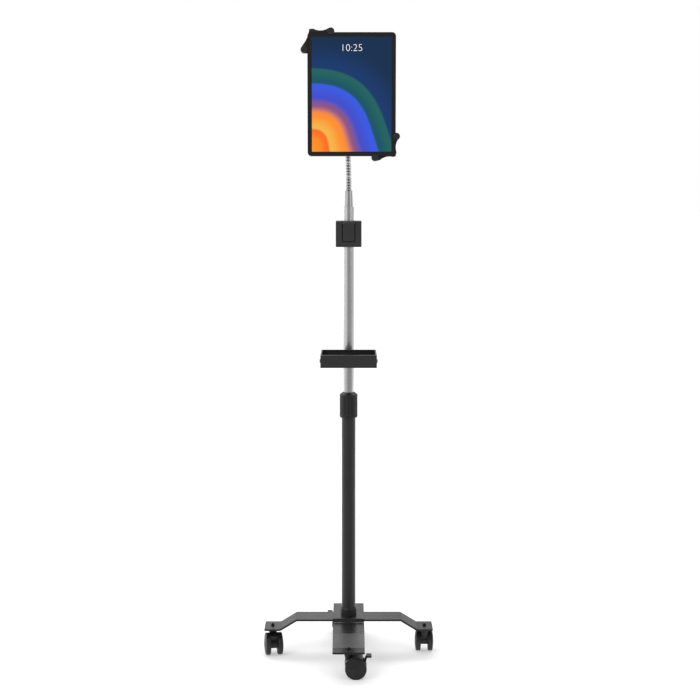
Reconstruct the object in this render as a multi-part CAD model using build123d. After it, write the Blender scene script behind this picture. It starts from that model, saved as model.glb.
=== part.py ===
"""An adjustable floor stand on casters that holds a tablet on a bendable neck.

Millimetres. +Z is up, the tablet faces -Y and the floor is at Z = 0. Every piece is drawn about
the pole's axis, and the finished model is moved so that its box stands centred on the origin.
"""
from build123d import *
from math import atan2, cos, hypot, pi, radians, sin, sqrt, tan
import os

# General clearances and overruns
overrun = 1.0
running_gap = 0.06
loose_gap = 0.3
panel_gap = 0.6

# Base: two bent steel strips that cross under the pole
strip_thickness = 4.0
strip_bend = 6.0
leg_end_top = 60.0
cross_leg_width = 60.0
cross_leg_top = 81.7
cross_flat_half = 113.5
cross_slope_run = 35.5
cross_end_run = 33.5
cross_bolt_out = 165.5
long_leg_width = 67.0
joggle_drop = 8.0
joggle_run = 3.5
joggle_gap = 4.4
front_flat_out = 116.0
front_slope_run = 46.0
front_end_run = 30.0
front_bolt_out = 171.0
rear_flat_out = 84.0
rear_slope_run = 46.0
rear_end_run = 32.0
rear_bolt_out = 147.0
leg_corner = 3.0

# Casters
wheel_radius = 22.5
wheel_width = 9.9
wheel_fillet = 2.0
wheel_dome = 2.7
dome_middle_shares = (0.5, 0.75)
wheel_cap = 3.0
caster_trail = 15.0
caster_width = 41.0
web_side_gap = 0.5
hood_gap = 0.8
hood_wall = 2.2
hood_round = 1.6
hood_front_angle = 65.0
hood_rear_angle = 35.0
web_hub_radius = 9.0
axle_radius = 3.0
boss_radius = 8.6
boss_low = 34.0
boss_top_gap = 1.0
stem_radius = 4.0
stem_depth = 18.0
stem_collar_radius = 7.0
thread_radius = 2.5
cap_nut_radius = 3.9
cap_nut_height = 3.0
cap_dome_radius = 2.8

# Brake pedals of the front and the rear caster
pedal_pin_radius = 1.6
pedal_pin_out = 20.0
pedal_pin_angle = 52.0
pedal_lug_radius = 3.4
pedal_lug_width = 8.0
pedal_slot_gap = 0.4
pedal_slot_before = 13.0
pedal_slot_after = 26.0
pedal_ear_angle = 66.0
pedal_thickness = 4.0
pedal_width = 18.0
pedal_elbow_out = 21.5
pedal_elbow_rise = 26.5
pedal_reach = 11.0
pedal_bend = 5.5

# Foot of the pole
foot_radius = 17.2
foot_height = 16.0
foot_bevel = 2.5
foot_plug_height = 24.0
base_bolt_radius = 5.0
base_bolt_head = 7.0
base_bolt_head_radius = 9.0
base_bolt_reach = 18.0

# Lower tube and its twist lock
lower_tube_radius = 15.0
lower_tube_wall = 1.5
lower_tube_top = 545.0
bush_bore_depth = 60.0
bush_flange = 3.0
collet_height = 18.0
collet_base_radius = 14.0
collet_tip_radius = 12.6
collet_slots = 4
collet_slot_width = 1.6
collar_below_top = 25.1
collar_height = 54.9
collar_radius = 19.4
collar_foot_bevel = 2.4
collar_top_bevel = 5.2
collar_top_radius = 12.3
collar_flutes = 10
collar_flute_radius = 7.0
collar_flute_depth = 0.9
collar_flute_margin = 6.0

# Chrome tube
upper_tube_radius = 11.0
upper_tube_wall = 1.2
upper_tube_inside = 215.0
guide_height = 20.0
guide_plug = 14.0
guide_bore = 6.0

# Flip-lock clamp on the chrome tube
clamp_half_width = 27.3
clamp_below_top = 29.3
clamp_height = 54.4
clamp_front = 30.0
clamp_rear = 26.0
clamp_split = 0.6
clamp_corner = 3.0
clamp_edge = 0.8
sleeve_radius = 15.0
sleeve_end_gap = 2.5
sleeve_split = 2.0
clamp_screw_radius = 2.0
clamp_screw_head_radius = 3.8
clamp_screw_head = 3.0
clamp_screw_reach = 12.0
clamp_screw_inset = 7.0
lever_recess_width = 28.6
lever_recess_foot = 10.2
lever_recess_corner = 4.5
lever_groove = 2.2
lever_thickness = 5.0
lever_cam_radius = 5.5
lever_pin_below_top = 6.5
lever_pin_radius = 2.0
lever_pin_inset = 3.0

# Tray
tray_half_width = 58.5
tray_depth = 105.0
tray_above_tube = 96.1
tray_height = 26.6
tray_wall = 1.5
tray_lip = 3.0
tray_corner = 2.0
tray_rim_round = 1.9
tray_back_gap = 2.0
bracket_from_back = 47.0
bracket_width = 20.0
bracket_thickness = 1.5
bracket_ear = 14.0
bracket_side_gap = 0.3
side_screw_height = 7.6
side_screw_radius = 2.0
side_screw_reach = 7.0
side_screw_head = 2.4
side_screw_head_radius = 4.0
saddle_half_width = 21.0
saddle_drop = 7.1
saddle_height = 28.0
saddle_split = 0.6
strap_depth = 15.0
saddle_corner = 2.0
grip_screw_out = 16.0
grip_screw_radius = 2.0
grip_screw_head_radius = 3.8
knob_radius = 12.0
knob_height = 12.0
knob_stand_off = 3.0
knob_edge = 1.2
knob_shank_radius = 3.0
knob_scallops = 6
knob_scallop_radius = 4.0
knob_scallop_depth = 2.0

# Bendable neck
ferrule_low_radius = 9.0
ferrule_high_radius = 7.8
ferrule_height = 34.0
ferrule_spigot = 18.0
neck_socket_depth = 12.0
neck_straight = 12.0
neck_rise = 147.2
neck_links = 8
ribs_per_link = 5
neck_crest_radius = 6.1
neck_valley_radius = 5.3
neck_bore_radius = 2.5
neck_joint_gap = 0.8
rib_shares = (0.0, 0.28, 0.62, 0.9)
neck_lean = 3.6
tangent_share = 0.01

# Ball joint behind the holder
ball_radius = 9.0
stud_neck_radius = 3.5
stud_reach = 29.0
stud_sleeve_radius = 8.2
stud_sleeve_wall = 3.0
cup_radius = 14.0
cup_floor = 4.0
cup_wall_past = 1.0
spigot_radius = 8.0
nut_radius = 17.0
nut_overlap = 6.0
nut_lip = 8.5
nut_seat = 4.0
nut_mouth_radius = 6.9
nut_mouth_flare = 8.4
nut_side_count = 12
bolt_radius = 2.0
bolt_reach = 6.0

# Tablet
tablet_width = 178.5
tablet_height = 247.6
tablet_thickness = 6.5
tablet_corner = 8.0
tablet_edge = 1.4
glass_thickness = 0.9
glass_inset = 1.6
tablet_front = 122.0
tablet_middle_height = 1198.4
tablet_aside = 2.5
hub_aside = 3.7

# Holder behind the tablet, drawn about its hub: x along the diagonal of the tablet
cover_front = 2.0
cover_thickness = 2.0
arm_front_gap = 0.6
arm_thickness = 4.0
washer_gap = 0.6
washer_thickness = 1.8
washer_radius = 11.0
housing_back = 14.0
housing_length = 150.0
housing_wall = 2.2
housing_corner = 12.0
pad_length = 120.0
pad_width = 38.0
pad_corner = 6.0
arm_width = 14.0
arm_inner_end = 33.0
arm_stand_out = 17.0
arm_side_gap = 0.3
holder_screw_radius = 1.5
holder_screw_head_radius = 2.8
holder_screw_head = 1.6
holder_boss_radius = 3.6
holder_screw_from_end = 13.0
holder_screw_aside = 16.0
inner_screw_out = 26.0

# Rack and pinion in the holder
gear_module = 1.5
pinion_teeth = 12
gear_pressure_deg = 20.0
gear_addendum_share = 0.7
gear_dedendum_share = 1.05
gear_backlash = 0.3
pinion_pin_radius = 3.0
flank_shares = (0.0, 0.3, 0.65, 1.0)
rack_tooth_count = 9
rack_teeth_behind = 7
rack_phase_share = 0.5

# Claws: lobes, tips and dips are placed from the tablet's corner, in and outward, and each dip has a radius
claw_web_front = 0.6
claw_web_thickness = 4.2
claw_palm_radius = 13.0
claw_palm_from_corner = 34.6
claw_lobe_radius = 7.3
claw_neck_overlap = 12.0
upper_claw_lobes = ((47.2, 2.0), (-6.5, -34.4))
lower_claw_lobes = ((42.0, 2.7), (-1.4, -40.0))
claw_lip = 2.6
claw_lip_gap = 0.4
claw_edge_gap = 0.5
claw_lip_fillet = 1.0
claw_tip_radius = 1.5
upper_claw_tip = (5.0, 5.7)
lower_claw_tip = (1.1, -1.1)
upper_claw_dips = (((26.0, 34.0), 30.0), ((-57.3, 13.9), 61.4))
lower_claw_dips = (((12.0, 30.4), 30.0), ((-30.4, -18.0), 30.0))

# Places that follow from the sizes above
leg_end_low = leg_end_top - strip_thickness
plate_top = cross_leg_top + strip_thickness
front_flat_top = plate_top - joggle_drop
boss_top = leg_end_low - boss_top_gap
half_rim = caster_width / 2 - wheel_dome
half_web = half_rim - wheel_width - web_side_gap
pedal_pin_x = caster_trail + pedal_pin_out * sin(radians(pedal_pin_angle))
pedal_pin_z = wheel_radius + pedal_pin_out * cos(radians(pedal_pin_angle))
upper_tube_bore = upper_tube_radius - upper_tube_wall
collar_low = lower_tube_top - collar_below_top
collar_high = collar_low + collar_height
tablet_back = tablet_front - tablet_thickness
ball_depth = housing_back + cup_floor + ball_radius + loose_gap
ball_out = tablet_back - ball_depth
arc_radius = ball_out - stud_reach - neck_straight
neck_start = tablet_middle_height - arc_radius - neck_rise
upper_tube_top = neck_start - ferrule_height
upper_tube_low = lower_tube_top - upper_tube_inside
arc_length = arc_radius * pi / 2
neck_length = neck_rise + arc_length + neck_straight
link_length = neck_length / neck_links
clamp_high = upper_tube_top - clamp_below_top
clamp_low = clamp_high - clamp_height
lever_recess_low = clamp_low + lever_recess_foot
lever_pin_height = clamp_high - lever_pin_below_top
lever_pin_y = -clamp_front + lever_cam_radius
lever_pin_half = clamp_half_width - lever_pin_inset
tray_low = lower_tube_top + tray_above_tube
tray_high = tray_low + tray_height
saddle_low = tray_low - saddle_drop
saddle_high = saddle_low + saddle_height
tray_back = -upper_tube_radius - tray_back_gap
tray_front = tray_back - tray_depth
bracket_y = tray_back - bracket_from_back
bracket_low = tray_low + tray_wall - bracket_thickness
side_screw_z = tray_low + side_screw_height
grip_height = (saddle_low + saddle_high) / 2
diagonal = hypot(tablet_width, tablet_height)
grip_direction = (-tablet_width / diagonal, 0, tablet_height / diagonal)
claw_palm_out = diagonal / 2 - claw_palm_from_corner
arm_outer_end = housing_length / 2 + arm_stand_out
outer_screw_out = housing_length / 2 - holder_screw_from_end
holder_screw_places = ((outer_screw_out, -holder_screw_aside), (inner_screw_out, 0))
pitch_radius = gear_module * pinion_teeth / 2
base_radius = pitch_radius * cos(radians(gear_pressure_deg))
rack_root = pitch_radius + gear_module * gear_dedendum_share
rack_backs = pitch_radius + arm_width
arm_front = cover_front + cover_thickness + arm_front_gap
arm_back = arm_front + arm_thickness
washer_back = arm_back + washer_gap + washer_thickness
housing_floor = washer_back + loose_gap
claw_web_back = claw_web_front + claw_web_thickness
housing_half_width = rack_backs + arm_side_gap + housing_wall
holder_hub = (hub_aside, -tablet_back, tablet_middle_height)
screen_plane = Plane(origin=holder_hub, x_dir=(1, 0, 0), z_dir=(0, -1, 0))
grip_plane = Plane(origin=holder_hub, x_dir=grip_direction, z_dir=(0, -1, 0))
caster_places = {
    "front": (0, -front_bolt_out, 0, True),
    "rear": (0, rear_bolt_out, 180, True),
    "left": (-cross_bolt_out, 0, -80, False),
    "right": (cross_bolt_out, 0, 90, False),
}


def disc(radius, low, high):
    """An upright cylinder between two heights."""
    return Pos(0, 0, low) * Cylinder(radius, high - low, align=(Align.CENTER, Align.CENTER, Align.MIN))


def taper(low_radius, high_radius, low, high):
    """An upright cone between two heights."""
    shape = Cone(low_radius, high_radius, high - low, align=(Align.CENTER, Align.CENTER, Align.MIN))
    return Pos(0, 0, low) * shape


def ring(outer, inner, low, high):
    """An upright tube between two heights."""
    return disc(outer, low, high) - disc(inner, low - overrun, high + overrun)


def block(x, y, z):
    """A box between two corners, given as a low and a high value for each axis."""
    spans = (x, y, z)
    middle = [(low + high) / 2 for low, high in spans]
    return Pos(*middle) * Box(*[high - low for low, high in spans])


def prism(sketch, plane, low, high):
    """A sketch stood up between two distances from its plane."""
    return plane * Pos(0, 0, low) * extrude(sketch, high - low)


def along_y(radius, x, z, front, back):
    """A cylinder that lies along Y."""
    return Pos(x, back, z) * Rot(90, 0, 0) * disc(radius, 0, back - front)


def along_x(radius, y, z, left, right):
    """A cylinder that lies along X."""
    return Pos(left, y, z) * Rot(0, 90, 0) * disc(radius, 0, right - left)


def together(shapes):
    """Several solids as one piece."""
    return Compound([solid for shape in shapes for solid in shape.solids()])


def rounded(length, width, corner):
    """A flat rectangle with round corners."""
    return RectangleRounded(length, width, corner)


# Base


def ribbon(points, bend, thickness):
    """The outline of a bent strip: a line of points and its copy a thickness to its right."""
    line = FilletPolyline(*points, radius=bend)
    return make_face(offset(line, thickness, side=Side.RIGHT, closed=True).edges())


def caster_holes():
    """The holes for the casters' studs through the ends of the legs."""
    holes = []
    for x, y, turn, braked in caster_places.values():
        holes.append(Pos(x, y) * disc(thread_radius, leg_end_low - overrun, leg_end_top + overrun))
    return holes


def bent_leg(points, plane, width, along, centre_low):
    """A bent strip with round corners, a hole for the base bolt and holes for its casters."""
    leg = extrude(plane * ribbon(points, strip_bend, strip_thickness), width / 2, both=True)
    ends = leg.edges().filter_by(Axis.Z).group_by(along)
    leg = fillet(ends[0] + ends[-1], leg_corner)
    leg -= disc(base_bolt_radius, centre_low - overrun, plate_top + overrun)
    return leg - caster_holes()


def make_cross_leg():
    flat, slope, end = cross_flat_half, cross_slope_run, cross_end_run
    half = [(flat + slope + end, leg_end_top), (flat + slope, leg_end_top), (flat, cross_leg_top)]
    points = [(-x, z) for x, z in half] + half[::-1]
    return bent_leg(points, Plane.XZ, cross_leg_width, Axis.X, cross_leg_top - strip_thickness)


def make_long_leg():
    """The front-to-rear strip: it lies on the cross leg and steps down in front of it."""
    step = cross_leg_width / 2 + joggle_gap
    front_slope = front_flat_out + front_slope_run
    rear_slope = rear_flat_out + rear_slope_run
    points = [
        (-front_slope - front_end_run, leg_end_top),
        (-front_slope, leg_end_top),
        (-front_flat_out, front_flat_top),
        (-step - joggle_run, front_flat_top),
        (-step, plate_top),
        (rear_flat_out, plate_top),
        (rear_slope, leg_end_top),
        (rear_slope + rear_end_run, leg_end_top),
    ]
    return bent_leg(points, Plane.YZ, long_leg_width, Axis.Y, cross_leg_top)


def make_foot_ferrule():
    """A bevelled ring round the pole's foot."""
    high = plate_top + foot_height
    foot = disc(foot_radius, plate_top, high - foot_bevel)
    foot += taper(foot_radius, foot_radius - foot_bevel / 2, high - foot_bevel, high)
    return foot - disc(lower_tube_radius, plate_top - overrun, high + overrun)


def make_base_bolt():
    """A hexagon bolt from under the crossing into the plug in the pole's foot."""
    under = cross_leg_top - strip_thickness
    head = Pos(0, 0, under - base_bolt_head) * extrude(
        RegularPolygon(base_bolt_head_radius, 6), base_bolt_head
    )
    return head + disc(base_bolt_radius, under - overrun, plate_top + base_bolt_reach)


def make_foot_plug():
    radius = lower_tube_radius - lower_tube_wall
    return ring(radius, base_bolt_radius, plate_top, plate_top + foot_plug_height)


# Casters, each drawn with its swivel axis upright at the origin and its wheels trailing along +X


def place_caster(name):
    x, y, turn, braked = caster_places[name]
    return Pos(x, y, 0) * Rot(0, 0, turn)


def wedge(first_angle, last_angle, half_width):
    """A sector about the axle, between two angles from straight up, positive towards the rear."""
    far = wheel_radius * 2
    angles = (first_angle, (first_angle + last_angle) / 2, last_angle)
    rim = [(far * sin(radians(a)), far * cos(radians(a))) for a in angles]
    face = make_face(Polyline((0, 0), *rim, close=True))
    return Pos(caster_trail, 0, wheel_radius) * extrude(Plane.XZ * face, half_width, both=True)


def about_axle(radius, half_width):
    return along_y(radius, caster_trail, wheel_radius, -half_width, half_width)


def make_hood(name):
    """The caster's body: a web between the wheels, a guard over them and a boss for the stem."""
    braked = caster_places[name][3]
    inner = wheel_radius + hood_gap
    guard = about_axle(inner + hood_wall, half_rim)
    guard = fillet(guard.edges().filter_by(GeomType.CIRCLE), hood_round) - about_axle(inner, caster_width)
    guard = guard & wedge(-hood_front_angle, hood_rear_angle, caster_width)
    rear_angle = pedal_ear_angle if braked else hood_rear_angle
    web = about_axle(inner + overrun, half_web) & wedge(-hood_front_angle, rear_angle, half_web)
    hood = guard + web + about_axle(web_hub_radius, half_web) + disc(half_web, boss_low, boss_top)
    hood += disc(boss_radius, wheel_radius * 2 + hood_gap, boss_top)
    hood -= about_axle(axle_radius, caster_width)
    hood -= disc(stem_radius + running_gap, boss_top - stem_depth, boss_top + overrun)
    if braked:
        hood -= along_y(pedal_pin_radius, pedal_pin_x, pedal_pin_z, -caster_width, caster_width)
        first, last = pedal_pin_angle - pedal_slot_before, pedal_pin_angle + pedal_slot_after
        slot = wedge(first, last, pedal_lug_width / 2 + pedal_slot_gap)
        hood -= slot - about_axle(pedal_pin_out - pedal_lug_radius - loose_gap, caster_width)
    return place_caster(name) * hood


def make_axle(name):
    return place_caster(name) * about_axle(axle_radius, caster_width / 2 - wheel_cap)


def make_wheels(name):
    """Two wheels, domed outside, that turn together on the axle."""
    near, top = half_rim - wheel_width, caster_width / 2
    out_share, rise_share = dome_middle_shares
    halfway = (wheel_radius * out_share, half_rim + wheel_dome * rise_share)
    tread = Polyline((0, top), (0, near), (wheel_radius, near), (wheel_radius, half_rim))
    dome = ThreePointArc((wheel_radius, half_rim), halfway, (0, top))
    profile = Plane.XZ * make_face([*tread.edges(), dome])
    wheels = []
    for side in (1, -1):
        wheel = revolve(profile, Axis.Z)
        wheel = fillet(wheel.edges().filter_by(GeomType.CIRCLE), wheel_fillet)
        wheel -= disc(axle_radius + running_gap, near - overrun, top - wheel_cap + loose_gap)
        turn = Rot(90 * side, 0, 0)
        wheels.append(place_caster(name) * Pos(caster_trail, 0, wheel_radius) * turn * wheel)
    return together(wheels)


def make_pedal(name):
    """A bent foot lever with its own trunnion, in the slot between the hood's ears."""
    half_lug = pedal_lug_width / 2
    lug = along_y(pedal_lug_radius, pedal_pin_x, pedal_pin_z, -half_lug, half_lug)
    pin = along_y(pedal_pin_radius - running_gap, pedal_pin_x, pedal_pin_z, -half_web, half_web)
    elbow = (caster_trail + pedal_elbow_out, wheel_radius + pedal_elbow_rise)
    tip = (elbow[0] + pedal_reach, elbow[1])
    arm = ribbon([(pedal_pin_x, pedal_pin_z), elbow, tip], pedal_bend, pedal_thickness)
    pedal = lug + pin + extrude(Plane.XZ * arm, half_lug, both=True)
    pad = block(
        (elbow[0], tip[0]), (-pedal_width / 2, pedal_width / 2), (elbow[1] - pedal_thickness, elbow[1])
    )
    pad = fillet(pad.edges().filter_by(Axis.Z), pedal_thickness / 2)
    return place_caster(name) * (pedal + pad)


def make_stems():
    """The casters' studs: a collar under the leg, a thread through it and a domed nut on top."""
    stems = []
    for x, y, turn, braked in caster_places.values():
        stem = disc(stem_radius, boss_top - stem_depth + loose_gap, leg_end_low)
        stem += disc(stem_collar_radius, boss_top + loose_gap, leg_end_low)
        stem += disc(thread_radius, boss_top, leg_end_top + cap_nut_height)
        stem += Pos(0, 0, leg_end_top) * extrude(RegularPolygon(cap_nut_radius, 6), cap_nut_height)
        stem += Pos(0, 0, leg_end_top + cap_nut_height) * Sphere(cap_dome_radius)
        stems.append(Pos(x, y) * stem)
    return together(stems)


# Lower tube and twist lock


def make_lower_tube():
    inside = lower_tube_radius - lower_tube_wall
    return ring(lower_tube_radius, inside, plate_top, lower_tube_top)


def make_top_bush():
    """A bush in the tube's mouth that ends in a split, tapered collet."""
    top = lower_tube_top + bush_flange
    tip = top + collet_height
    bush = disc(lower_tube_radius - lower_tube_wall, lower_tube_top - bush_bore_depth, lower_tube_top)
    bush += disc(lower_tube_radius, lower_tube_top, top)
    bush += taper(collet_base_radius, collet_tip_radius, top, tip)
    bush -= disc(upper_tube_radius + running_gap, lower_tube_top - bush_bore_depth - overrun, tip + overrun)
    half = collet_slot_width / 2
    for number in range(collet_slots):
        slot = block((0, lower_tube_radius), (-half, half), (top + bush_flange, tip + overrun))
        bush -= Rot(0, 0, 360 * number / collet_slots) * slot
    return bush


def make_collar():
    """The fluted twist-lock collar round the tube's mouth."""
    full_low = collar_low + collar_foot_bevel
    full_high = collar_high - collar_top_bevel
    collar = taper(collar_radius - collar_foot_bevel / 2, collar_radius, collar_low, full_low)
    collar += disc(collar_radius, full_low, full_high)
    collar += taper(collar_radius, collar_top_radius, full_high, collar_high)
    seat = lower_tube_top + bush_flange
    tip = seat + collet_height
    collar -= disc(lower_tube_radius + running_gap, collar_low - overrun, seat + loose_gap)
    collar -= taper(collet_base_radius + loose_gap, collet_tip_radius + loose_gap, seat, tip + loose_gap)
    collar -= disc(upper_tube_radius + loose_gap, seat, collar_high + overrun)
    out = collar_radius + collar_flute_radius - collar_flute_depth
    for number in range(collar_flutes):
        turn = Rot(0, 0, 360 * (number + 1 / 2) / collar_flutes)
        low, high = full_low + collar_flute_margin, full_high - collar_flute_margin
        flute = disc(collar_flute_radius, low, high)
        flute += Pos(0, 0, low) * Sphere(collar_flute_radius)
        flute += Pos(0, 0, high) * Sphere(collar_flute_radius)
        collar -= turn * Pos(0, -out) * flute
    return collar


# Chrome tube


def make_upper_tube():
    return ring(upper_tube_radius, upper_tube_bore, upper_tube_low, upper_tube_top)


def make_tube_guide():
    """A plastic guide on the chrome tube's lower end, which slides inside the lower tube."""
    slide = lower_tube_radius - lower_tube_wall - running_gap
    top = upper_tube_low - running_gap
    guide = disc(slide, top - guide_height, top)
    guide += disc(upper_tube_bore - running_gap, top - overrun, upper_tube_low + guide_plug)
    return guide - disc(guide_bore, top - guide_height - overrun, upper_tube_top)


def make_neck_ferrule():
    """The cone on top of the chrome tube that the bendable neck stands in."""
    ferrule = taper(ferrule_low_radius, ferrule_high_radius, upper_tube_top, neck_start)
    ferrule += disc(upper_tube_bore, upper_tube_top - ferrule_spigot, upper_tube_top)
    return ferrule - disc(neck_crest_radius, neck_start - neck_socket_depth, neck_start + overrun)


# Flip-lock clamp


def clamp_screws(radius, front, back):
    """The clamp's four screws, as cylinders between two places along Y."""
    out = clamp_half_width - clamp_screw_inset
    heights = (clamp_low + clamp_screw_inset, clamp_high - clamp_screw_inset)
    return [along_y(radius, side * out, z, front, back) for side in (-1, 1) for z in heights]


def make_clamp_front():
    """The front shell, with the pocket that the lever folds into."""
    width = clamp_half_width
    shell = block((-width, width), (-clamp_front, -clamp_split / 2), (clamp_low, clamp_high))
    shell = fillet(shell.edges().filter_by(Axis.Z).group_by(Axis.Y)[0], clamp_corner)
    shell = chamfer(shell.faces().sort_by(Axis.Y)[0].edges(), clamp_edge)
    half = lever_recess_width / 2
    outside = -clamp_front - overrun
    floor = -clamp_front + lever_thickness + panel_gap
    pocket = block((-half, half), (outside, floor), (lever_recess_low, clamp_high + overrun))
    pocket = fillet(pocket.edges().filter_by(Axis.Y).group_by(Axis.Z)[0], lever_recess_corner)
    cam = lever_cam_radius + panel_gap
    well_low = lever_pin_height - cam
    well = block((-half, half), (outside, lever_pin_y + cam), (well_low, clamp_high + overrun))
    shell = shell - pocket - well - disc(sleeve_radius, clamp_low - overrun, clamp_high + overrun)
    shell -= along_x(lever_pin_radius, lever_pin_y, lever_pin_height, -lever_pin_half, lever_pin_half)
    return shell - clamp_screws(clamp_screw_radius, -clamp_screw_reach, 0)


def make_clamp_rear():
    width = clamp_half_width
    shell = block((-width, width), (clamp_split / 2, clamp_rear), (clamp_low, clamp_high))
    shell = fillet(shell.edges().filter_by(Axis.Z).group_by(Axis.Y)[-1], clamp_corner)
    shell = chamfer(shell.faces().sort_by(Axis.Y)[-1].edges(), clamp_edge)
    shell -= disc(sleeve_radius, clamp_low - overrun, clamp_high + overrun)
    shell -= clamp_screws(clamp_screw_radius, 0, clamp_rear)
    seat = clamp_rear - clamp_screw_head
    return shell - clamp_screws(clamp_screw_head_radius, seat, clamp_rear + overrun)


def make_clamp_screws():
    shanks = clamp_screws(clamp_screw_radius, -clamp_screw_reach, clamp_rear - clamp_screw_head)
    head_back = clamp_rear - clamp_screw_head / 2
    heads = clamp_screws(clamp_screw_head_radius, clamp_rear - clamp_screw_head, head_back)
    return together([shank + head for shank, head in zip(shanks, heads)])


def make_clamp_sleeve():
    """The split sleeve that the clamp squeezes onto the tube."""
    low, high = clamp_low + sleeve_end_gap, clamp_high - sleeve_end_gap
    sleeve = ring(sleeve_radius, upper_tube_radius + running_gap, low, high)
    half = sleeve_split / 2
    return sleeve - block((0, sleeve_radius + overrun), (-half, half), (low - overrun, high + overrun))


def make_lever_pin():
    return along_x(lever_pin_radius, lever_pin_y, lever_pin_height, -lever_pin_half, lever_pin_half)


def make_flip_lever():
    """The lever: a plate that lies in its pocket, on a round cam about the pin."""
    half = lever_recess_width / 2 - lever_groove
    foot = lever_recess_low + lever_groove
    lever = block((-half, half), (-clamp_front, -clamp_front + lever_thickness), (foot, lever_pin_height))
    lever = fillet(lever.edges().filter_by(Axis.Y).group_by(Axis.Z)[0], lever_recess_corner - lever_groove)
    lever += along_x(lever_cam_radius, lever_pin_y, lever_pin_height, -half, half)
    bore = lever_pin_radius + running_gap
    return lever - along_x(bore, lever_pin_y, lever_pin_height, -lever_pin_half, lever_pin_half)


# Tray


def side_screw_holes():
    out = tray_half_width + overrun
    return along_x(side_screw_radius, bracket_y, side_screw_z, -out, out)


def grip_screws(radius, front, back):
    return [along_y(radius, side * grip_screw_out, grip_height, front, back) for side in (-1, 1)]


def make_tray_pan():
    """An open sheet-metal box with a rolled rim, just in front of the tube."""
    width, wall = tray_half_width, tray_wall
    pan = block((-width, width), (tray_front, tray_back), (tray_low, tray_high))
    pan = fillet(pan.edges().filter_by(Axis.Z), tray_corner)
    pan = fillet(pan.faces().sort_by(Axis.Z)[-1].edges(), tray_rim_round)
    room = ((-width + wall, width - wall), (tray_front + wall, tray_back - wall))
    pan -= block(*room, (tray_low + wall, tray_high - tray_lip))
    mouth = ((-width + tray_lip, width - tray_lip), (tray_front + tray_lip, tray_back - tray_lip))
    pan -= block(*mouth, (tray_low + wall, tray_high + overrun))
    reach = bracket_width / 2 + bracket_side_gap
    under = (bracket_y - reach - wall, bracket_y + reach + wall)
    pan += block((-width, width), under, (bracket_low - wall, tray_low))
    pan -= block(room[0], (bracket_y - reach, bracket_y + reach), (bracket_low, tray_low + wall))
    pan -= side_screw_holes()
    return pan - grip_screws(grip_screw_radius, tray_back - tray_wall - overrun, 0)


def make_tray_bracket():
    """A strap let into the pan's floor, whose ears are screwed to its sides."""
    width, low = tray_half_width - tray_wall, bracket_low
    front, back = bracket_y - bracket_width / 2, bracket_y + bracket_width / 2
    bracket = block((-width, width), (front, back), (low, low + bracket_ear))
    inside = width - bracket_thickness
    high = low + bracket_ear + overrun
    bracket -= block((-inside, inside), (front - overrun, back + overrun), (low + bracket_thickness, high))
    return bracket - side_screw_holes()


def make_tray_screws():
    """Two screws through the pan's sides and two long ones that close the grip on the tube."""
    screws = []
    width = tray_half_width
    for side in (-1, 1):
        ends = sorted((side * (width - side_screw_reach), side * width))
        head_ends = sorted((side * width, side * (width + side_screw_head)))
        shank = along_x(side_screw_radius, bracket_y, side_screw_z, *ends)
        screws.append(shank + along_x(side_screw_head_radius, bracket_y, side_screw_z, *head_ends))
    tip = tray_back - tray_wall - side_screw_head
    shanks = grip_screws(grip_screw_radius, tip, strap_depth)
    heads = grip_screws(grip_screw_head_radius, strap_depth, strap_depth + side_screw_head)
    nuts = grip_screws(grip_screw_head_radius, tip, tray_back - tray_wall)
    screws += [shank + head + nut for shank, head, nut in zip(shanks, heads, nuts)]
    return together(screws)


def grip_half(front, back):
    """One half of the block that grips the tube."""
    width = saddle_half_width
    half = block((-width, width), (front, back), (saddle_low, saddle_high))
    half -= disc(upper_tube_radius + running_gap, saddle_low - overrun, saddle_high + overrun)
    return half - grip_screws(grip_screw_radius, front - overrun, back + overrun)


def make_tray_saddle():
    return grip_half(tray_back, -saddle_split / 2)


def make_tray_strap():
    strap = grip_half(saddle_split / 2, strap_depth)
    strap = fillet(strap.edges().filter_by(Axis.Z).group_by(Axis.Y)[-1], saddle_corner)
    return strap - along_y(knob_shank_radius + running_gap, 0, grip_height, 0, strap_depth + overrun)


def make_tray_knob():
    """A lobed thumb screw behind the tube."""
    base = strap_depth + knob_stand_off
    knob = along_y(knob_radius, 0, grip_height, base, base + knob_height)
    knob = fillet(knob.edges().filter_by(GeomType.CIRCLE), knob_edge)
    out = knob_radius + knob_scallop_radius - knob_scallop_depth
    for number in range(knob_scallops):
        turn = 2 * pi * number / knob_scallops
        x, z = out * cos(turn), grip_height + out * sin(turn)
        knob -= along_y(knob_scallop_radius, x, z, base - overrun, base + knob_height + overrun)
    return knob + along_y(knob_shank_radius, 0, grip_height, upper_tube_radius + loose_gap, base + overrun)


# Bendable neck


def neck_point(along):
    """The neck's middle at a length along it: up from the ferrule, then an arc to the holder."""
    share = (along - neck_straight) / (neck_length - neck_straight * 2)
    share = min(max(share, 0), 1)
    aside = hub_aside * share * share * (3 - 2 * share) - neck_lean * sin(pi * share) ** 2
    turn = min(max(along - neck_rise, 0) / arc_radius, pi / 2)
    rise = min(along, neck_rise) + arc_radius * sin(turn)
    forward = arc_radius * (1 - cos(turn)) + max(along - neck_rise - arc_length, 0)
    return Vector(aside, -forward, neck_start + rise)


def neck_plane(along):
    """A plane across the neck, with a steady X axis."""
    step = link_length * tangent_share
    ahead = neck_point(along + step) - neck_point(along - step)
    return Plane(origin=neck_point(along), x_dir=(1, 0, 0), z_dir=ahead)


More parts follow.
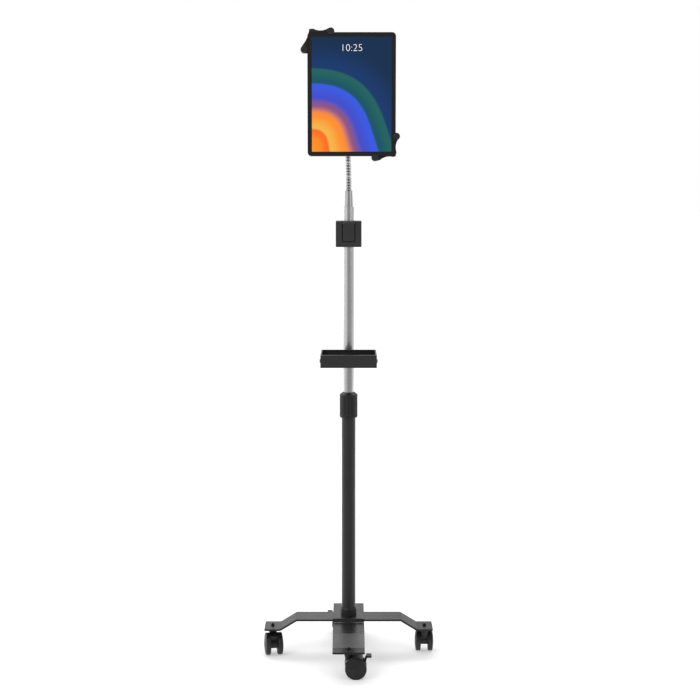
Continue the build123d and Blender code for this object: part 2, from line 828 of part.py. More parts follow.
def make_neck_link(number):
    """One ribbed stretch of the neck; the first and the last end in a plain plug."""
    half_gap = neck_joint_gap / 2
    start = number * link_length + half_gap
    pitch = (link_length - neck_joint_gap) / ribs_per_link
    radii = (neck_valley_radius, neck_crest_radius, neck_crest_radius, neck_valley_radius)
    stations = []
    for rib in range(ribs_per_link):
        for share, radius in zip(rib_shares, radii):
            stations.append((start + (rib + share) * pitch, radius))
    stations.append((start + ribs_per_link * pitch, neck_valley_radius))
    if number == 0:
        stations = [(-neck_socket_depth, neck_crest_radius), (0, neck_crest_radius)] + stations
    if number == neck_links - 1:
        end = neck_length
        stations += [(end, neck_crest_radius), (end + neck_socket_depth, neck_crest_radius)]
    planes = [neck_plane(along) for along, radius in stations]
    outside = [plane * Circle(radius) for plane, (along, radius) in zip(planes, stations)]
    inside = [planes[0].offset(-overrun)] + planes + [planes[-1].offset(overrun)]
    bore = loft([plane * Circle(neck_bore_radius) for plane in inside], ruled=True)
    return loft(outside, ruled=True) - bore


# Ball joint behind the holder


def behind(near_radius, far_radius, near, far):
    """A cylinder or cone on the hub's axis, between two depths behind the tablet's back."""
    if near_radius == far_radius:
        shape = disc(near_radius, 0, far - near)
    else:
        shape = taper(near_radius, far_radius, 0, far - near)
    return Pos(hub_aside, near - tablet_back, tablet_middle_height) * Rot(-90, 0, 0) * shape


def ball_at_hub(radius):
    return Pos(hub_aside, -ball_out, tablet_middle_height) * Sphere(radius)


def make_ball_stud():
    """A sleeve on the neck's end, a thin shank and a ball."""
    end = tablet_back - arc_radius - neck_straight
    sleeve_far = end - neck_joint_gap / 2
    sleeve_near = end - neck_socket_depth - stud_sleeve_wall
    sleeve = behind(stud_sleeve_radius, stud_sleeve_radius, sleeve_near, sleeve_far)
    sleeve -= behind(neck_crest_radius, neck_crest_radius, end - neck_socket_depth, end)
    shank = behind(stud_neck_radius, stud_neck_radius, ball_depth, sleeve_near + overrun)
    return sleeve + shank + ball_at_hub(ball_radius)


def make_socket_cup():
    """The cup that the ball sits in; its spigot turns in the housing's back."""
    front, rim = housing_back + loose_gap, ball_depth + cup_wall_past
    cup = behind(cup_radius, cup_radius, front, rim)
    cup += behind(spigot_radius, spigot_radius, washer_back, front + overrun)
    cup -= ball_at_hub(ball_radius + running_gap)
    mouth = ball_radius + running_gap
    cup -= behind(mouth, mouth, ball_depth, rim + overrun)
    return cup - behind(bolt_radius, bolt_radius, washer_back - overrun, washer_back + bolt_reach)


def make_swivel_bolt():
    """A wide-headed screw that keeps the cup's spigot in the housing."""
    head = behind(washer_radius, washer_radius, washer_back - washer_thickness, washer_back)
    return head + behind(bolt_radius, bolt_radius, washer_back - overrun, washer_back + bolt_reach)


def make_ball_nut():
    """The ring nut that holds the ball in the cup, open behind for the stud to tilt."""
    front = ball_depth + cup_wall_past - nut_overlap
    far = ball_depth + nut_lip
    body = Pos(hub_aside, front - tablet_back, tablet_middle_height) * Rot(-90, 0, 0) * extrude(
        RegularPolygon(nut_radius, nut_side_count), far - front
    )
    body -= behind(cup_radius, cup_radius, front - overrun, ball_depth + cup_wall_past)
    body -= ball_at_hub(ball_radius + running_gap)
    return body - behind(nut_mouth_radius, nut_mouth_flare, ball_depth + nut_seat, far + overrun)


# Tablet


def make_tablet_body():
    shape = Pos(tablet_aside, 0) * rounded(tablet_width, tablet_height, tablet_corner)
    body = prism(shape, screen_plane, 0, tablet_thickness)
    body = fillet(body.faces().sort_by(Axis.Y)[-1].edges(), tablet_edge)
    return body - make_tablet_glass()


def make_tablet_glass():
    inset = glass_inset * 2
    shape = rounded(tablet_width - inset, tablet_height - inset, tablet_corner - glass_inset)
    under = tablet_thickness - glass_thickness
    return prism(Pos(tablet_aside, 0) * shape, screen_plane, under, tablet_thickness)


# Holder


def holder_layer(length, width, corner, near, far):
    """A round-cornered plate in line with the grip, between two depths behind the tablet."""
    return prism(rounded(length, width, corner), grip_plane, -far, -near)


def holder_screws(radius, near, far):
    screws = []
    for x, y in holder_screw_places:
        for side in (1, -1):
            spot = Pos(side * x, side * y) * Circle(radius)
            screws.append(prism(spot, grip_plane, -far, -near))
    return screws


def make_housing():
    """The shell that the arms slide in, with the bore that the cup's spigot turns in."""
    near = cover_front + cover_thickness
    width = housing_half_width * 2
    shell = holder_layer(housing_length, width, housing_corner, near, housing_back)
    wall = housing_wall * 2
    corner = housing_corner - housing_wall
    shell -= holder_layer(housing_length - wall, width - wall, corner, near - overrun, housing_floor)
    for side in (1, -1):
        low, high = rack_root - arm_side_gap, rack_backs + arm_side_gap
        slot_length = housing_corner + overrun
        middle = housing_length / 2 - housing_corner + slot_length / 2
        slot = Pos(side * middle, side * (low + high) / 2) * Rectangle(slot_length, high - low)
        shell -= prism(slot, grip_plane, -arm_back - arm_side_gap, -near + overrun)
    shell += holder_screws(holder_boss_radius, near, housing_floor)
    shell -= holder_screws(holder_screw_radius, near - overrun, housing_floor)
    bore = spigot_radius + running_gap
    return shell - behind(bore, bore, housing_floor - overrun, housing_back + overrun)


def make_cover():
    """The front cover, with the pin that the pinion turns on."""
    near, far = cover_front, cover_front + cover_thickness
    cover = holder_layer(housing_length, housing_half_width * 2, housing_corner, near, far)
    cover += behind(pinion_pin_radius, pinion_pin_radius, far - cover_thickness / 2, arm_back)
    cover -= holder_screws(holder_screw_radius, near - overrun, far + overrun)
    return cover - holder_screws(holder_screw_head_radius, near - overrun, near + holder_screw_head)


def make_holder_screws():
    heads = holder_screws(holder_screw_head_radius, cover_front, cover_front + holder_screw_head)
    shanks = holder_screws(holder_screw_radius, cover_front, housing_floor)
    return together([head + shank for head, shank in zip(heads, shanks)])


def make_holder_pad():
    return holder_layer(pad_length, pad_width, pad_corner, 0, cover_front)


def flank_angle(radius):
    """The half angle of a pinion tooth at a radius, by the involute of its base circle."""
    pressure = radians(gear_pressure_deg)
    half = (pi * gear_module / 2 - gear_backlash) / 2 / pitch_radius
    slope = sqrt(max((radius / base_radius) ** 2 - 1, 0))
    return half + tan(pressure) - pressure - (slope - atan2(slope, 1))


def make_pinion():
    """The pinion that keeps both arms in step, with involute teeth."""
    outer = pitch_radius + gear_module * gear_addendum_share
    root = pitch_radius - gear_module * gear_dedendum_share
    radii = [root - gear_backlash]
    radii += [base_radius + (outer - base_radius) * share for share in flank_shares]
    flank = [(r * sin(flank_angle(r)), r * cos(flank_angle(r))) for r in radii]
    tooth = make_face(Polyline(*flank, *[(-x, y) for x, y in flank[::-1]], close=True))
    gear = Circle(root)
    for number in range(pinion_teeth):
        gear += Rot(0, 0, 360 * number / pinion_teeth) * tooth
    gear -= Circle(pinion_pin_radius + running_gap)
    return prism(gear, grip_plane, -arm_back, -arm_front)


def rack_tooth(middle):
    """A straight-sided tooth that points from the rack's root line towards the pinion."""
    slope = tan(radians(gear_pressure_deg))
    half = (pi * gear_module / 2 - gear_backlash) / 2
    tip = pitch_radius - gear_module * gear_addendum_share
    at_tip = half - slope * gear_module * gear_addendum_share
    at_root = half + slope * gear_module * gear_dedendum_share
    foot = rack_root + gear_backlash
    points = [(-at_root, foot), (-at_root, rack_root), (-at_tip, tip), (at_tip, tip), (at_root, rack_root)]
    return Pos(middle, 0) * make_face(Polyline(*points, (at_root, foot), close=True))


def claw_arm():
    """The sliding arm of a claw: a bar with rack teeth and a neck that leads to the palm."""
    middle, depth = (rack_root + rack_backs) / 2, rack_backs - rack_root
    length = arm_outer_end + arm_inner_end
    bar = Pos((arm_outer_end - arm_inner_end) / 2, middle) * Rectangle(length, depth)
    pitch = pi * gear_module
    for number in range(rack_tooth_count):
        bar += rack_tooth((number - rack_teeth_behind + rack_phase_share) * pitch)
    arm = prism(bar, grip_plane, -arm_back, -arm_front)
    end = Pos(arm_outer_end - claw_neck_overlap / 2, middle) * Rectangle(claw_neck_overlap, depth)
    palm = Pos(claw_palm_out, 0) * Circle(claw_palm_radius)
    neck = make_hull([*end.edges(), *palm.edges()])
    return arm + prism(neck, grip_plane, -claw_web_back, -claw_web_front)


def hull_of(*circles):
    """The outline that runs round several circles, each given by its middle and radius."""
    edges = [edge for place, radius in circles for edge in (Pos(*place) * Circle(radius)).edges()]
    return make_hull(edges)


def make_claw(side, lobes, tip, dips):
    """A claw with two lobes that reach round the tablet's edges; side 1 is the upper one."""
    corner_x, corner_y = side * tablet_aside - tablet_width / 2, tablet_height / 2
    places = [(corner_x + x, corner_y + y) for x, y in lobes]
    palm = (claw_palm_out * grip_direction[0], claw_palm_out * grip_direction[2])
    point = (corner_x + tip[0], corner_y + tip[1])
    web = Sketch()
    for place in places:
        web += hull_of((palm, claw_palm_radius), (place, claw_lobe_radius), (point, claw_tip_radius))
    for (x, y), radius in dips:
        web -= Pos(corner_x + x, corner_y + y) * Circle(radius)
    for place in places:
        web += hull_of((palm, claw_lobe_radius), (place, claw_lobe_radius))
    turn = Rot(0, 0, 90 * (1 - side))
    claw = prism(turn * web, screen_plane, -claw_web_back, -claw_web_front)
    front = tablet_thickness + claw_lip_gap + claw_lip
    for place in places:
        lobe = prism(turn * Pos(*place) * Circle(claw_lobe_radius), screen_plane, -claw_web_back, front)
        claw += fillet(lobe.faces().sort_by(Axis.Y)[0].edges(), claw_lip_fillet)
    room = rounded(tablet_width + claw_edge_gap * 2, tablet_height + claw_edge_gap * 2, tablet_corner)
    lip_under = tablet_thickness + claw_lip_gap
    claw -= prism(Pos(tablet_aside, 0) * room, screen_plane, -claw_web_front, lip_under)
    return claw + claw_arm().rotate(Axis(holder_hub, (0, 1, 0)), 90 * (1 - side))


# The whole stand

pieces = {
    "cross_leg": make_cross_leg(),
    "long_leg": make_long_leg(),
    "foot_ferrule": make_foot_ferrule(),
    "base_bolt": make_base_bolt(),
    "foot_plug": make_foot_plug(),
    "lower_tube": make_lower_tube(),
    "top_bush": make_top_bush(),
    "twist_collar": make_collar(),
    "upper_tube": make_upper_tube(),
    "tube_guide": make_tube_guide(),
    "neck_ferrule": make_neck_ferrule(),
    "clamp_front": make_clamp_front(),
    "clamp_rear": make_clamp_rear(),
    "clamp_screws": make_clamp_screws(),
    "clamp_sleeve": make_clamp_sleeve(),
    "lever_pin": make_lever_pin(),
    "flip_lever": make_flip_lever(),
    "tray_pan": make_tray_pan(),
    "tray_bracket": make_tray_bracket(),
    "tray_screws": make_tray_screws(),
    "tray_saddle": make_tray_saddle(),
    "tray_strap": make_tray_strap(),
    "tray_knob": make_tray_knob(),
    "ball_stud": make_ball_stud(),
    "socket_cup": make_socket_cup(),
    "swivel_bolt": make_swivel_bolt(),
    "ball_nut": make_ball_nut(),
    "holder_housing": make_housing(),
    "holder_cover": make_cover(),
    "holder_screws": make_holder_screws(),
    "holder_pad": make_holder_pad(),
    "pinion": make_pinion(),
    "upper_claw": make_claw(1, upper_claw_lobes, upper_claw_tip, upper_claw_dips),
    "lower_claw": make_claw(-1, lower_claw_lobes, lower_claw_tip, lower_claw_dips),
    "tablet_body": make_tablet_body(),
    "tablet_glass": make_tablet_glass(),
    "caster_stems": make_stems(),
}
for number in range(neck_links):
    pieces[f"neck_link_{number + 1}"] = make_neck_link(number)
for name in caster_places:
    pieces[f"{name}_hood"] = make_hood(name)
    pieces[f"{name}_axle"] = make_axle(name)
    pieces[f"{name}_wheels"] = make_wheels(name)
    if caster_places[name][3]:
        pieces[f"{name}_brake_pedal"] = make_pedal(name)

boxes = [piece.bounding_box() for piece in pieces.values()]
middle_x = (min(box.min.X for box in boxes) + max(box.max.X for box in boxes)) / 2
middle_y = (min(box.min.Y for box in boxes) + max(box.max.Y for box in boxes)) / 2
home = Pos(-middle_x, -middle_y, 0)
os.makedirs("parts", exist_ok=True)
for name, piece in pieces.items():
    export_step(home * piece, f"parts/{name}.step")
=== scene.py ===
"""Looks for an adjustable tablet floor stand on casters. Metres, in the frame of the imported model."""
import math

import bpy
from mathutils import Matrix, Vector


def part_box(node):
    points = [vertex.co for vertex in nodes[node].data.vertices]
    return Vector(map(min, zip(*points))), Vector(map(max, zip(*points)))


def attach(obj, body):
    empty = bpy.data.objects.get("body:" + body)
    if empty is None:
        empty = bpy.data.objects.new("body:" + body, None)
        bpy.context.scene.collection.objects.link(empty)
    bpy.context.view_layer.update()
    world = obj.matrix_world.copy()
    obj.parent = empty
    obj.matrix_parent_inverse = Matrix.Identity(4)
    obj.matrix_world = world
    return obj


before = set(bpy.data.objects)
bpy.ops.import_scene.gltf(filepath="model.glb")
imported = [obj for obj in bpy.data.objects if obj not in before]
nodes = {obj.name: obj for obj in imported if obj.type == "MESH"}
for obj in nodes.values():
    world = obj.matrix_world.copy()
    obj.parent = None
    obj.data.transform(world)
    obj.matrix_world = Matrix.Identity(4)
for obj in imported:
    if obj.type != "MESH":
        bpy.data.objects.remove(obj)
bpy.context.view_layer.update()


# Helpers for shaders and objects


def shown(*levels):
    """A colour by its levels on a screen, 0 to 255, as the linear values that a shader takes."""
    shares = [level / 255 for level in levels]
    return tuple(share / 12.92 if share <= 0.04045 else ((share + 0.055) / 1.055) ** 2.4
                 for share in shares)


def set_sockets(made, **values):
    """Sets a shader node's sockets, each named with underscores for its spaces."""
    for name, value in values.items():
        made.inputs[name.replace("_", " ")].default_value = value


def node(tree, kind, **values):
    """A shader node with some of its sockets set."""
    made = tree.nodes.new(kind)
    set_sockets(made, **values)
    return made


def new_material(name, **values):
    """A material, its node tree and its shader with some of its sockets set."""
    made = bpy.data.materials.new(name)
    made.use_nodes = True
    shader = made.node_tree.nodes["Principled BSDF"]
    set_sockets(shader, **values)
    return made, made.node_tree, shader


def object_place(tree):
    """The place on a piece, in metres."""
    return tree.nodes.new("ShaderNodeTexCoord").outputs["Object"]


def along(tree, place, axis):
    """One coordinate of a place."""
    split = tree.nodes.new("ShaderNodeSeparateXYZ")
    tree.links.new(place, split.inputs[0])
    return split.outputs[axis]


def calculate(tree, operation, first, second=0.0):
    """One step of arithmetic on two values, each a socket or a number."""
    step = tree.nodes.new("ShaderNodeMath")
    step.operation = operation
    for socket, value in zip(step.inputs, (first, second)):
        if isinstance(value, (int, float)):
            socket.default_value = value
        else:
            tree.links.new(value, socket)
    return step.outputs[0]


def noise(tree, place, scale, detail, rough):
    made = node(tree, "ShaderNodeTexNoise", Scale=scale, Detail=detail, Roughness=rough)
    tree.links.new(place, made.inputs["Vector"])
    return made.outputs["Fac"]


def spread(tree, value, low, high, from_low=0.3, from_high=0.7):
    """A value carried from one range, by default that of a noise, to another and held at its ends."""
    made = node(tree, "ShaderNodeMapRange",
                From_Min=from_low, From_Max=from_high, To_Min=low, To_Max=high)
    tree.links.new(value, made.inputs["Value"])
    return made.outputs["Result"]


def mix(tree, factor, first, second):
    """A colour between two, where the factor is a socket and each colour a socket or a tuple."""
    made = tree.nodes.new("ShaderNodeMix")
    made.data_type = "RGBA"
    tree.links.new(factor, made.inputs["Factor"])
    for value, name in ((first, "A"), (second, "B")):
        socket = next(s for s in made.inputs if s.name == name and s.type == "RGBA")
        if isinstance(value, tuple):
            socket.default_value = (*value, 1)
        else:
            tree.links.new(value, socket)
    return next(s for s in made.outputs if s.type == "RGBA")


def add_object(name, data):
    made = bpy.data.objects.new(name, data)
    bpy.context.scene.collection.objects.link(made)
    return made


# Surfaces of the pieces

dust_colour = (0.32, 0.31, 0.30)
dust_scale, dust_start, dust_full = 420.0, 0.58, 0.78
smudge_scale = 45.0
# Shares of a rib's pitch for the painted groove shade: fully dark up to the first, faded out by the
# second
groove_shade_share, rib_share = 0.08, 0.24


def surface(name, colour, rough, *, metallic=0.0, rough_spread=0.05, tint=0.15, tint_scale=12.0,
            grain_scale=1800.0, grain_depth=0.00002, stretch=(1, 1, 1), gloss=0.5, dust=0.0,
            groove_shade=None):
    """A surface with a slight change of colour and gloss over it and a fine grain.

    Groove shade is painted shade: level dark rings where shade falls between ribs, given by the height
    they start at, their pitch and their colour.
    """
    made, tree, shader = new_material(name, Metallic=metallic, Specular_IOR_Level=gloss)
    place = object_place(tree)

    broad = noise(tree, place, tint_scale, detail=3.0, rough=0.5)
    darker = tuple(c * (1 - tint) for c in colour)
    lighter = tuple(min(1, c * (1 + tint)) for c in colour)
    base = mix(tree, spread(tree, broad, 0, 1), darker, lighter)
    if dust:
        specks = noise(tree, place, dust_scale, detail=5.0, rough=0.75)
        base = mix(tree, spread(tree, specks, 0, dust, dust_start, dust_full), base, dust_colour)
    # Painted shade: dark rings in each groove between ribs, where shade falls
    if groove_shade:
        start, pitch, dark = groove_shade
        height = spread(tree, along(tree, place, "Z"), 0, 1, start, start + 1)
        from_middle = calculate(tree, "PINGPONG", height, pitch / 2)
        in_groove_shade = spread(tree, from_middle, 1, 0, pitch * groove_shade_share, pitch * rib_share)
        base = mix(tree, in_groove_shade, base, dark)
    tree.links.new(base, shader.inputs["Base Color"])

    stretched = node(tree, "ShaderNodeMapping", Scale=stretch)
    tree.links.new(place, stretched.inputs["Vector"])
    grain = noise(tree, stretched.outputs["Vector"], grain_scale, detail=3.0, rough=0.6)
    smudge = noise(tree, place, smudge_scale, detail=4.0, rough=0.6)
    worn = spread(tree, smudge, rough - rough_spread, rough + rough_spread)
    uneven = spread(tree, grain, -rough_spread / 2, rough_spread / 2)
    tree.links.new(calculate(tree, "ADD", worn, uneven), shader.inputs["Roughness"])
    bump = node(tree, "ShaderNodeBump", Strength=1.0, Distance=grain_depth)
    tree.links.new(grain, bump.inputs["Height"])
    tree.links.new(bump.outputs["Normal"], shader.inputs["Normal"])
    return made


def dress(look, *names):
    """Gives pieces a look as their only one."""
    for name in names:
        nodes[name].data.materials.clear()
        nodes[name].data.materials.append(look)


casters = ("front", "rear", "left", "right")

# Coated steel
dress(surface("powder_black", shown(27, 27, 28), 0.27, grain_scale=900, grain_depth=0.00003,
              rough_spread=0.04, dust=0.05),
      "cross_leg", "long_leg")
dress(surface("pole_black", shown(40, 40, 41), 0.34, grain_scale=1400, dust=0.04),
      "lower_tube")
dress(surface("tray_black", shown(42, 42, 43), 0.3, grain_scale=1200, grain_depth=0.00003,
              dust=0.06),
      "tray_pan", "tray_bracket")

# Plastic and rubber
dress(surface("moulded_black", shown(46, 46, 47), 0.42, grain_scale=2600, grain_depth=0.00003,
              dust=0.05),
      "clamp_front", "clamp_rear", "flip_lever", "tray_saddle", "tray_strap", "tray_knob",
      "socket_cup", "ball_nut", "holder_housing", "holder_cover")
dress(surface("collar_black", shown(32, 32, 33), 0.45, grain_scale=2600, grain_depth=0.00003,
              gloss=0.4, dust=0.04),
      "foot_ferrule", "top_bush", "twist_collar")
dress(surface("claw_black", shown(32, 32, 33), 0.5, grain_scale=2200, grain_depth=0.00004,
              dust=0.04),
      "upper_claw", "lower_claw")
dress(surface("caster_black", shown(26, 26, 27), 0.36, grain_scale=2400, grain_depth=0.00003,
              dust=0.08),
      *(f"{place}_hood" for place in casters))
dress(surface("tread_black", shown(30, 30, 30), 0.5, grain_scale=1500, grain_depth=0.00004,
              rough_spread=0.12, tint=0.3, tint_scale=60, dust=0.2),
      *(f"{place}_wheels" for place in casters))
dress(surface("pedal_black", shown(24, 24, 25), 0.4, grain_scale=2400, grain_depth=0.00003,
              dust=0.06),
      "front_brake_pedal", "rear_brake_pedal")
dress(surface("soft_pad", shown(28, 28, 28), 0.75, grain_scale=1600, grain_depth=0.00006),
      "holder_pad")
dress(surface("nylon", shown(205, 204, 198), 0.45, tint=0.04),
      "foot_plug", "tube_guide", "clamp_sleeve", "pinion")

# Metal, with the chrome's grain drawn along the tube
dress(surface("chrome", (0.62, 0.62, 0.63), 0.24, metallic=1.0, rough_spread=0.03, tint=0.04,
              grain_scale=900, grain_depth=0.000004, stretch=(1, 1, 0.02)),
      "upper_tube")
dress(surface("satin_steel", (0.5, 0.5, 0.5), 0.34, metallic=1.0, rough_spread=0.04, tint=0.05,
              grain_scale=700, grain_depth=0.00001, stretch=(0.05, 0.05, 1)),
      "neck_ferrule", "ball_stud")
dress(surface("zinc", (0.56, 0.57, 0.58), 0.34, metallic=1.0, tint=0.12, tint_scale=160,
              grain_scale=1100, grain_depth=0.00001),
      "base_bolt", "clamp_screws", "holder_screws", "swivel_bolt",
      *(f"{place}_axle" for place in casters))
dress(surface("dark_bolt", (0.05, 0.05, 0.052), 0.3, metallic=1.0, tint=0.12, tint_scale=160,
              grain_scale=1100, grain_depth=0.00001),
      "caster_stems", "tray_screws", "lever_pin")
dress(surface("shell_black", shown(36, 36, 38), 0.34, metallic=0.6, grain_scale=3200,
              grain_depth=0.000008),
      "tablet_body")

# The neck's chrome, with painted shade: dark rings in each groove between its ribs, which are counted
# from below the lowest link
link_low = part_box("neck_link_2")[0].z
link_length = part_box("neck_link_3")[0].z - link_low
ribs_in_link = 5
groove_shade_shift = 0.0004
# Colour of the painted shade in each groove
groove_shade_colour = (0.26, 0.26, 0.26)
groove_shade_start = link_low - groove_shade_shift - link_length * 2
dress(surface("neck_chrome", (0.66, 0.66, 0.66), 0.22, metallic=1.0, rough_spread=0.04, tint=0.06,
              grain_scale=1200, grain_depth=0.000006,
              groove_shade=(groove_shade_start, link_length / ribs_in_link, groove_shade_colour)),
      *(f"neck_link_{number}" for number in range(1, 9)))


# Tablet screen: a dark border round a plain picture of soft rings in one corner

border_across, border_up = 0.041, 0.0315
border_colour = (0.014, 0.014, 0.015)
ring_middle_across, ring_middle_up = -0.1, -0.06
ring_reach = 1.45
waves_in_turn, wave_size = 5.0, 0.035
ring_colours = [
    (0.00, (0.78, 0.36, 0.03)), (0.18, (0.90, 0.22, 0.01)), (0.27, (0.84, 0.12, 0.01)),
    (0.29, (0.72, 0.38, 0.05)), (0.40, (0.80, 0.22, 0.02)), (0.48, (0.20, 0.07, 0.20)),
    (0.54, (0.04, 0.06, 0.48)), (0.64, (0.03, 0.08, 0.62)), (0.66, (0.005, 0.07, 0.10)),
    (0.76, (0.01, 0.10, 0.09)), (0.78, (0.004, 0.03, 0.12)), (1.00, (0.003, 0.02, 0.06)),
]
screen_glow = 0.42
film_scale, film_rough = 30.0, (0.06, 0.14)


def ring_picture(tree, across, up, aspect):
    """Coloured rings round a point past the lower left corner, a little wavy."""
    shift_x = calculate(tree, "SUBTRACT", across, ring_middle_across)
    shift_y = calculate(tree, "MULTIPLY", calculate(tree, "SUBTRACT", up, ring_middle_up), aspect)
    squares = [calculate(tree, "MULTIPLY", shift, shift) for shift in (shift_x, shift_y)]
    radius = calculate(tree, "POWER", calculate(tree, "ADD", *squares), 0.5)
    turn = calculate(tree, "MULTIPLY", calculate(tree, "ARCTAN2", shift_y, shift_x), waves_in_turn)
    wave = calculate(tree, "MULTIPLY", calculate(tree, "SINE", turn), wave_size)
    ring = calculate(tree, "ADD", radius, wave)

    ramp = tree.nodes.new("ShaderNodeValToRGB")
    ramp.color_ramp.interpolation = "EASE"
    elements = ramp.color_ramp.elements
    for element, (position, colour) in zip(elements, (ring_colours[0], ring_colours[-1])):
        element.position, element.color = position, (*colour, 1)
    for position, colour in ring_colours[1:-1]:
        elements.new(position).color = (*colour, 1)
    tree.links.new(calculate(tree, "DIVIDE", ring, ring_reach), ramp.inputs["Fac"])
    return ramp.outputs["Color"]


def screen_material(low, high):
    """Glossy glass over a lit picture, drawn from the place on the glass."""
    made, tree, shader = new_material("screen", Specular_IOR_Level=0.3)
    place = object_place(tree)
    wide, tall = high.x - low.x, high.z - low.z
    across = calculate(tree, "DIVIDE", calculate(tree, "SUBTRACT", along(tree, place, "X"), low.x), wide)
    up = calculate(tree, "DIVIDE", calculate(tree, "SUBTRACT", along(tree, place, "Z"), low.z), tall)

    def inside(value, margin):
        above = calculate(tree, "GREATER_THAN", value, margin)
        return calculate(tree, "MULTIPLY", above, calculate(tree, "LESS_THAN", value, 1 - margin))

    lit = calculate(tree, "MULTIPLY", inside(across, border_across), inside(up, border_up))
    picture = mix(tree, lit, border_colour, ring_picture(tree, across, up, tall / wide))
    tree.links.new(picture, shader.inputs["Base Color"])
    tree.links.new(picture, shader.inputs["Emission Color"])
    tree.links.new(calculate(tree, "MULTIPLY", lit, screen_glow), shader.inputs["Emission Strength"])
    film = noise(tree, place, film_scale, detail=4.0, rough=0.6)
    tree.links.new(spread(tree, film, *film_rough), shader.inputs["Roughness"])
    return made


dress(screen_material(*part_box("tablet_glass")), "tablet_glass")


# Clock figures on the screen

clock_size, clock_thinning = 0.0205, -0.0005
clock_down = 0.036
clock_lift = 0.00005


def make_clock(low, high):
    text = bpy.data.curves.new("screen_clock", "FONT")
    text.body = "10:25"
    text.size = clock_size
    text.offset = clock_thinning
    text.align_x = "CENTER"
    clock = add_object("screen_clock", text)
    clock.location = ((low.x + high.x) / 2, low.y - clock_lift, high.z - clock_down)
    clock.rotation_euler = (math.radians(90), 0, 0)
    lit_white, _, _ = new_material("lit_white", Base_Color=(0.8, 0.8, 0.82, 1),
                                   Emission_Color=(1, 1, 1, 1), Emission_Strength=0.5)
    text.materials.append(lit_white)
    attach(clock, "holder")


make_clock(*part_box("tablet_glass"))


# World, floor and the walls that only gloss sees

world_light = 0.6
floor_reach = 40
floor_colour = (0.82, 0.82, 0.82)
floor_glow_near, floor_glow_far = 0.34, 0.6
glow_begins, glow_full = 0.5, 2.5
front_gloss_share = 0.3
front_begins, front_full = 0.0, -0.3
stage_reach = 4.4
roof_height, roof_rear, roof_level = 5.0, -0.3, 0.15
# Direction in degrees from the front, height and level of white
ring_wall_points = [
    (-180, 2.6, 0.8), (-175, 2.6, 0.84), (-166, 2.6, 0.6), (-140, 2.6, 0.75), (-70, 2.6, 1.0),
    (-40, 5.0, 0.92), (-22, 5.0, 0.4), (48, 5.0, 0.38), (78, 5.0, 0.6), (110, 2.6, 0.7),
    (150, 2.6, 0.6), (174, 2.6, 0.5), (180, 2.6, 0.8),
]


def make_world():
    """White to the camera, in gloss and through glass, and a plain level as light."""
    world = bpy.data.worlds.new("studio")
    bpy.context.scene.world = world
    world.use_nodes = True
    tree = world.node_tree
    background = tree.nodes["Background"]
    set_sockets(background, Color=(1, 1, 1, 1))
    ray = tree.nodes.new("ShaderNodeLightPath").outputs
    seen = calculate(tree, "MAXIMUM", ray["Is Camera Ray"], ray["Is Glossy Ray"])
    seen = calculate(tree, "MAXIMUM", seen, ray["Is Transmission Ray"])
    tree.links.new(spread(tree, seen, world_light, 1.0, 0, 1), background.inputs["Strength"])


def level_corners(reach, rear, height):
    """Corners of a level rectangle that reaches as far to the front as to each side."""
    return [(-reach, -reach, height), (reach, -reach, height), (reach, rear, height),
            (-reach, rear, height)]


def floor_material():
    """A pale floor that turns white away from the stand, and is dimmer in gloss in front of it."""
    made, tree, shader = new_material("floor", Roughness=0.9, Specular_IOR_Level=0.1,
                                      Emission_Color=(1, 1, 1, 1))
    ray = tree.nodes.new("ShaderNodeLightPath").outputs
    place = object_place(tree)
    far = tree.nodes.new("ShaderNodeVectorMath")
    far.operation = "LENGTH"
    tree.links.new(place, far.inputs[0])

    in_front = spread(tree, along(tree, place, "Y"), 1, 0, front_full, front_begins)
    glossy_front = calculate(tree, "MULTIPLY", in_front, ray["Is Glossy Ray"])
    dimmed = spread(tree, glossy_front, 1, front_gloss_share, 0, 1)
    tree.links.new(mix(tree, dimmed, (0, 0, 0), floor_colour), shader.inputs["Base Color"])
    seen = calculate(tree, "MAXIMUM", ray["Is Camera Ray"], ray["Is Glossy Ray"])
    whiter = spread(tree, far.outputs["Value"], floor_glow_near, floor_glow_far, glow_begins,
                    glow_full)
    glow = calculate(tree, "MULTIPLY", seen, whiter)
    tree.links.new(calculate(tree, "MULTIPLY", glow, dimmed), shader.inputs["Emission Strength"])
    return made


def make_floor():
    mesh = bpy.data.meshes.new("floor")
    mesh.from_pydata(level_corners(floor_reach, floor_reach, 0), [], [(0, 1, 2, 3)])
    mesh.materials.append(floor_material())
    floor = add_object("floor", mesh)


def gloss_stage(name, corners, faces, levels):
    """A studio wall that only gloss sees, with a level of white for each corner."""
    material, tree, shader = new_material(name, Base_Color=(0, 0, 0, 1), Specular_IOR_Level=0.0,
                                          Emission_Color=(1, 1, 1, 1))
    level = tree.nodes.new("ShaderNodeAttribute")
    level.attribute_name = "level"
    tree.links.new(level.outputs["Fac"], shader.inputs["Emission Strength"])
    mesh = bpy.data.meshes.new(name)
    mesh.from_pydata(corners, [], faces)
    mesh.materials.append(material)
    values = mesh.attributes.new("level", "FLOAT", "POINT")
    values.data.foreach_set("value", levels)
    wall = add_object(name, mesh)
    for ray in ("camera", "diffuse", "transmission", "volume_scatter", "shadow"):
        setattr(wall, f"visible_{ray}", False)


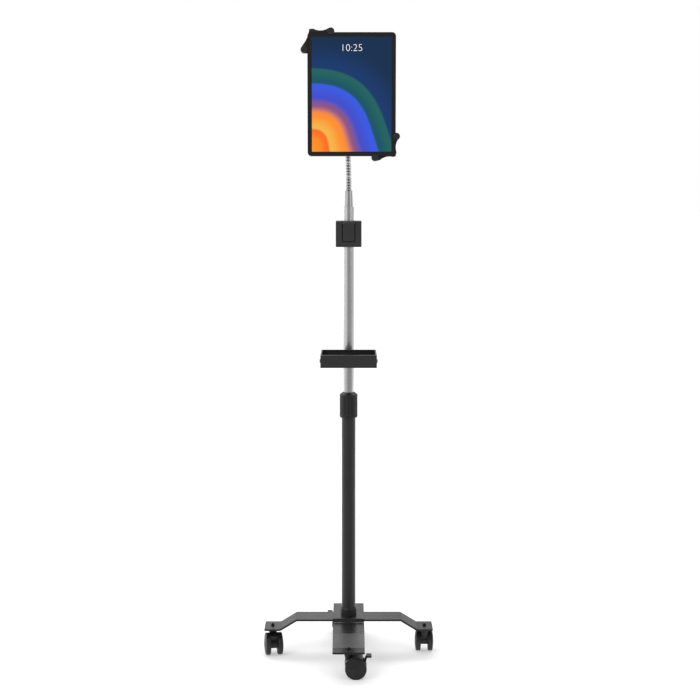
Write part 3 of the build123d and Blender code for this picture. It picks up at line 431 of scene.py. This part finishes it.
def make_ring_wall(radius, points):
    """A round wall whose height and level of white change evenly from point to point."""
    corners, levels, sides = [], [], 72
    for number in range(sides):
        degrees = (number * 360 / sides + 180) % 360 - 180
        for (start, *before), (end, *after) in zip(points, points[1:]):
            if start <= degrees <= end:
                share = (degrees - start) / (end - start)
                tall, level = (a + (b - a) * share for a, b in zip(before, after))
        turn = math.radians(degrees)
        place = (radius * math.sin(turn), -radius * math.cos(turn))
        corners += [(*place, 0), (*place, tall)]
        levels += [level, level]
    count = len(corners)
    faces = [(n, (n + 2) % count, (n + 3) % count, n + 1) for n in range(0, count, 2)]
    gloss_stage("ring_wall", corners, faces, levels)


make_world()
make_floor()
make_ring_wall(stage_reach, ring_wall_points)
gloss_stage("dim_roof", level_corners(stage_reach, roof_rear, roof_height), [(0, 1, 2, 3)],
            [roof_level] * 4)


# Lights


def area_light(name, place, target, size, watts):
    data = bpy.data.lights.new(name, "AREA")
    data.shape = "RECTANGLE"
    data.size, data.size_y = size
    data.energy = watts
    lamp = add_object(name, data)
    lamp.location = place
    lamp.rotation_euler = (Vector(target) - Vector(place)).to_track_quat("-Z", "Y").to_euler()


area_light("key", place=(-2.6, -2.6, 3.0), target=(0, 0, 0.8), size=(1.6, 2.2), watts=40)
area_light("fill", place=(3.0, -2.2, 2.0), target=(0, 0, 0.7), size=(1.6, 2.2), watts=14)
area_light("top", place=(-0.2, 1.6, 3.0), target=(0, 0, 0.2), size=(3.0, 1.6), watts=40)
area_light("rim", place=(-1.9, 1.9, 1.0), target=(-0.1, 0, 0.1), size=(1.0, 1.2), watts=8)


# Camera, fitted to the photograph and placed from the pole's axis

image_pixels, focal_pixels, shift_pixels = 700, 1515, 1.4
sensor_width = 36.0
camera_away, camera_height, camera_down = 3.220, 1.032, 6.5


def make_camera():
    pole_x = sum(corner.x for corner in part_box("upper_tube")) / 2
    pole_y = sum(corner.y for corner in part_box("upper_tube")) / 2
    data = bpy.data.cameras.new("camera")
    data.sensor_width = sensor_width
    data.lens = sensor_width * focal_pixels / image_pixels
    data.shift_x = shift_pixels / image_pixels
    camera = add_object("camera", data)
    camera.location = (pole_x, pole_y - camera_away, camera_height)
    camera.rotation_euler = (math.radians(90 - camera_down), 0, 0)
    bpy.context.scene.camera = camera


make_camera()
bpy.context.scene.view_settings.view_transform = "Standard"
